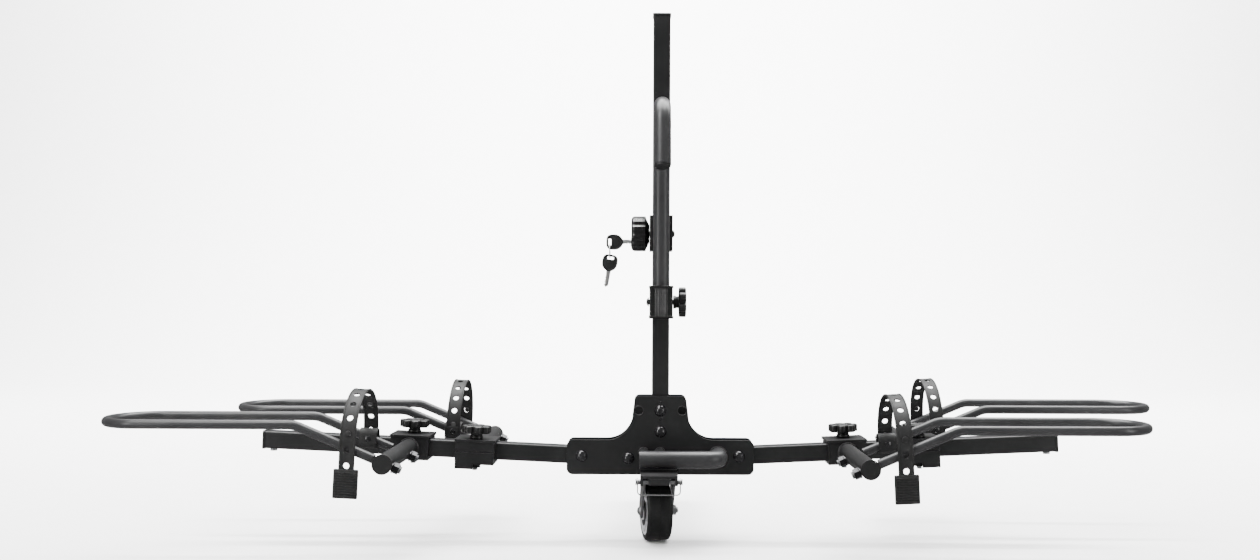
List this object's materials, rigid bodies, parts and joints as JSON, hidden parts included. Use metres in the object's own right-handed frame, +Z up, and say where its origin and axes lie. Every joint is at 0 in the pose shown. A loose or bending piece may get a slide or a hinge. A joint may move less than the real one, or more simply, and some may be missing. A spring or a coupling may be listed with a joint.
{
  "type": "hitch mounted bike rack",
  "caption": "Hitch mounted bike rack: a square mast and two rising arms carry sliding wheel hoops with rubber straps, sliding J-hooks, a locking knob and a small caster under the centre.",
  "frame": {"origin": "centre of the hitch pin hole through the square tongue", "axes": "+X to the right seen from behind the vehicle and along the pin hole, +Y forwards along the tongue towards the vehicle, +Z up along the mast"},
  "size_m": [1.544, 0.5217, 0.7755],
  "materials": {
    "black_steel": "satin black powder coat",
    "satin_tube": "satin dark grey powder coat",
    "black_fastener": "gloss black oxide",
    "black_plastic": "moulded, fine grain",
    "grey_plastic": "moulded, light grey",
    "black_rubber": "matt",
    "zinc": "bright zinc plate"
  },
  "bodies": {
    "frame": {"hitch_tongue": "black_steel", "rear_plate": "black_steel", "front_plate": "black_steel", "left_arm": "black_steel", "right_arm": "black_steel", "tube_caps": "black_plastic", "arm_stop_screws": "zinc", "mast": "black_steel", "plate_bolts": "black_fastener", "plate_nuts": "zinc", "caster_bracket": "black_steel", "pull_handle": "satin_tube", "lock_pin": "zinc", "caster_plate": "zinc"},
    "pin_bail": {"lock_pin_bail": "zinc"},
    "caster_swivel": {"caster_fork": "zinc", "caster_axle": "zinc"},
    "caster_wheel": {"caster_hub": "grey_plastic", "caster_tyre": "black_rubber"},
    "near_left_carriage": {"near_left_clamp": "black_steel", "near_left_hoop": "satin_tube", "near_left_cap": "black_plastic", "near_left_nuts": "zinc", "near_left_strap": "black_rubber"},
    "near_left_clamp_screw": {"near_left_knob": "black_plastic"},
    "near_right_carriage": {"near_right_clamp": "black_steel", "near_right_hoop": "satin_tube", "near_right_cap": "black_plastic", "near_right_nuts": "zinc", "near_right_strap": "black_rubber"},
    "near_right_clamp_screw": {"near_right_knob": "black_plastic"},
    "far_left_carriage": {"far_left_clamp": "black_steel", "far_left_hoop": "satin_tube", "far_left_cap": "black_plastic", "far_left_nuts": "zinc", "far_left_strap": "black_rubber"},
    "far_left_clamp_screw": {"far_left_knob": "black_plastic"},
    "far_right_carriage": {"far_right_clamp": "black_steel", "far_right_hoop": "satin_tube", "far_right_cap": "black_plastic", "far_right_nuts": "zinc", "far_right_strap": "black_rubber"},
    "far_right_clamp_screw": {"far_right_knob": "black_plastic"},
    "near_hook_slider": {"near_hook": "satin_tube", "near_hook_plug": "black_plastic", "near_hook_clamp": "black_plastic", "near_hook_bolt": "black_fastener"},
    "near_hook_screw": {"near_hook_knob": "black_plastic"},
    "far_hook_slider": {"far_hook": "satin_tube", "far_hook_plug": "black_plastic", "far_hook_bracket": "black_steel", "far_hook_bolt": "black_fastener"},
    "lock_handwheel": {"lock_knob": "black_plastic"},
    "lock_barrel": {"lock_cylinder": "zinc", "lock_key": "black_plastic"},
    "hanging_key": {"key_ring": "zinc", "spare_key": "black_plastic"}
  },
  "joints": [
    {"name": "caster_turn", "type": "hinge", "parent": "frame", "child": "caster_swivel", "pos_m": [-0.0027, -0.3102, -0.0295], "axis": [0, 0, 1], "continuous": true},
    {"name": "wheel_spin", "type": "hinge", "parent": "caster_swivel", "child": "caster_wheel", "pos_m": [-0.00614, -0.28847, -0.0765], "axis": [0.9877, 0.1564, 0], "continuous": true},
    {"name": "bail_swing", "type": "hinge", "parent": "frame", "child": "pin_bail", "pos_m": [-0.0027, -0.3662, -0.0225], "axis": [1, 0, 0], "range_deg": [-150, 0]},
    {"name": "near_left_slide", "type": "slide", "parent": "frame", "child": "near_left_carriage", "axis": [-0.999, 0, 0.0454], "range_m": [-0.015, 0.15]},
    {"name": "near_left_knob_turn", "type": "hinge", "parent": "near_left_carriage", "child": "near_left_clamp_screw", "pos_m": [-0.36909, -0.2447, 0.03328], "axis": [0.0454, 0, 0.999], "continuous": true},
    {"name": "near_right_slide", "type": "slide", "parent": "frame", "child": "near_right_carriage", "axis": [0.999, 0, 0.0454], "range_m": [-0.09, 0.015]},
    {"name": "near_right_knob_turn", "type": "hinge", "parent": "near_right_carriage", "child": "near_right_clamp_screw", "pos_m": [0.27509, -0.2447, 0.02901], "axis": [-0.0454, 0, 0.999], "continuous": true},
    {"name": "far_left_slide", "type": "slide", "parent": "frame", "child": "far_left_carriage", "axis": [-0.999, 0, 0.0454], "range_m": [-0.09, 0.015]},
    {"name": "far_left_knob_turn", "type": "hinge", "parent": "far_left_carriage", "child": "far_left_clamp_screw", "pos_m": [-0.27059, -0.2817, 0.02881], "axis": [0.0454, 0, 0.999], "continuous": true},
    {"name": "far_right_slide", "type": "slide", "parent": "frame", "child": "far_right_carriage", "axis": [0.999, 0, 0.0454], "range_m": [-0.015, 0.15]},
    {"name": "far_right_knob_turn", "type": "hinge", "parent": "far_right_carriage", "child": "far_right_clamp_screw", "pos_m": [0.37909, -0.2817, 0.03374], "axis": [-0.0454, 0, 0.999], "continuous": true},
    {"name": "near_hook_slide", "type": "slide", "parent": "frame", "child": "near_hook_slider", "axis": [0, 0, 1], "range_m": [-0.1, 0.015]},
    {"name": "near_hook_knob_turn", "type": "hinge", "parent": "near_hook_slider", "child": "near_hook_screw", "pos_m": [0.025, -0.2811, 0.2291], "axis": [1, 0, 0], "continuous": true},
    {"name": "far_hook_slide", "type": "slide", "parent": "frame", "child": "far_hook_slider", "axis": [0, 0, 1], "range_m": [-0.015, 0.27]},
    {"name": "lock_knob_turn", "type": "hinge", "parent": "far_hook_slider", "child": "lock_handwheel", "pos_m": [-0.03, -0.2453, 0.3315], "axis": [1, 0, 0], "continuous": true},
    {"name": "key_turn", "type": "hinge", "parent": "lock_handwheel", "child": "lock_barrel", "pos_m": [-0.045, -0.2453, 0.319], "axis": [1, 0, 0], "range_deg": [0, 90]},
    {"name": "key_swing", "type": "hinge", "parent": "lock_barrel", "child": "hanging_key", "pos_m": [-0.0768, -0.2453, 0.3156], "axis": [0, 1, 0], "range_deg": [-35, 35]}
  ]
}
